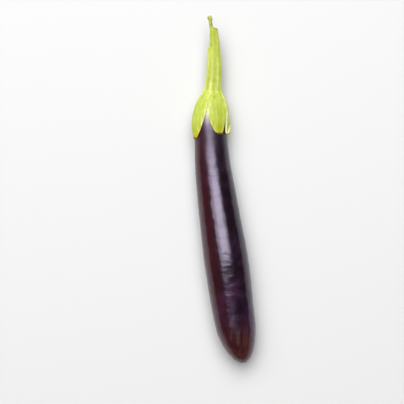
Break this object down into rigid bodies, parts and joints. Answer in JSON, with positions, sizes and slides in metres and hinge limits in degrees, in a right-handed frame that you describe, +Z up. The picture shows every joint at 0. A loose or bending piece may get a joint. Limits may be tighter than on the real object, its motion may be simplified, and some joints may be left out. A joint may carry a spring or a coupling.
{
  "type": "eggplant",
  "caption": "Long slender eggplant lying on its side: a smooth bent fruit, a lobed calyx over its shoulder and a ribbed cut stem.",
  "frame": {"origin": "on the small flat spot that the fruit lies on, under the point of balance", "axes": "+Z up from the surface, +Y along the fruit towards the stem, +X towards the side the blossom end bends to"},
  "size_m": [0.0545, 0.2942, 0.0373],
  "materials": {
    "skin": "glossy waxy skin, black-purple with a maroon cast on the flanks and the blossom end",
    "calyx": "satin, fleshy yellow-green, ribbed, with dry brown tips on the lobes",
    "stem": "satin, pale yellow-green, ribbed along its length, with a dry cut end"
  },
  "bodies": {
    "root": {"fruit": "skin", "calyx": "calyx", "stem": "stem"}
  },
  "joints": []
}
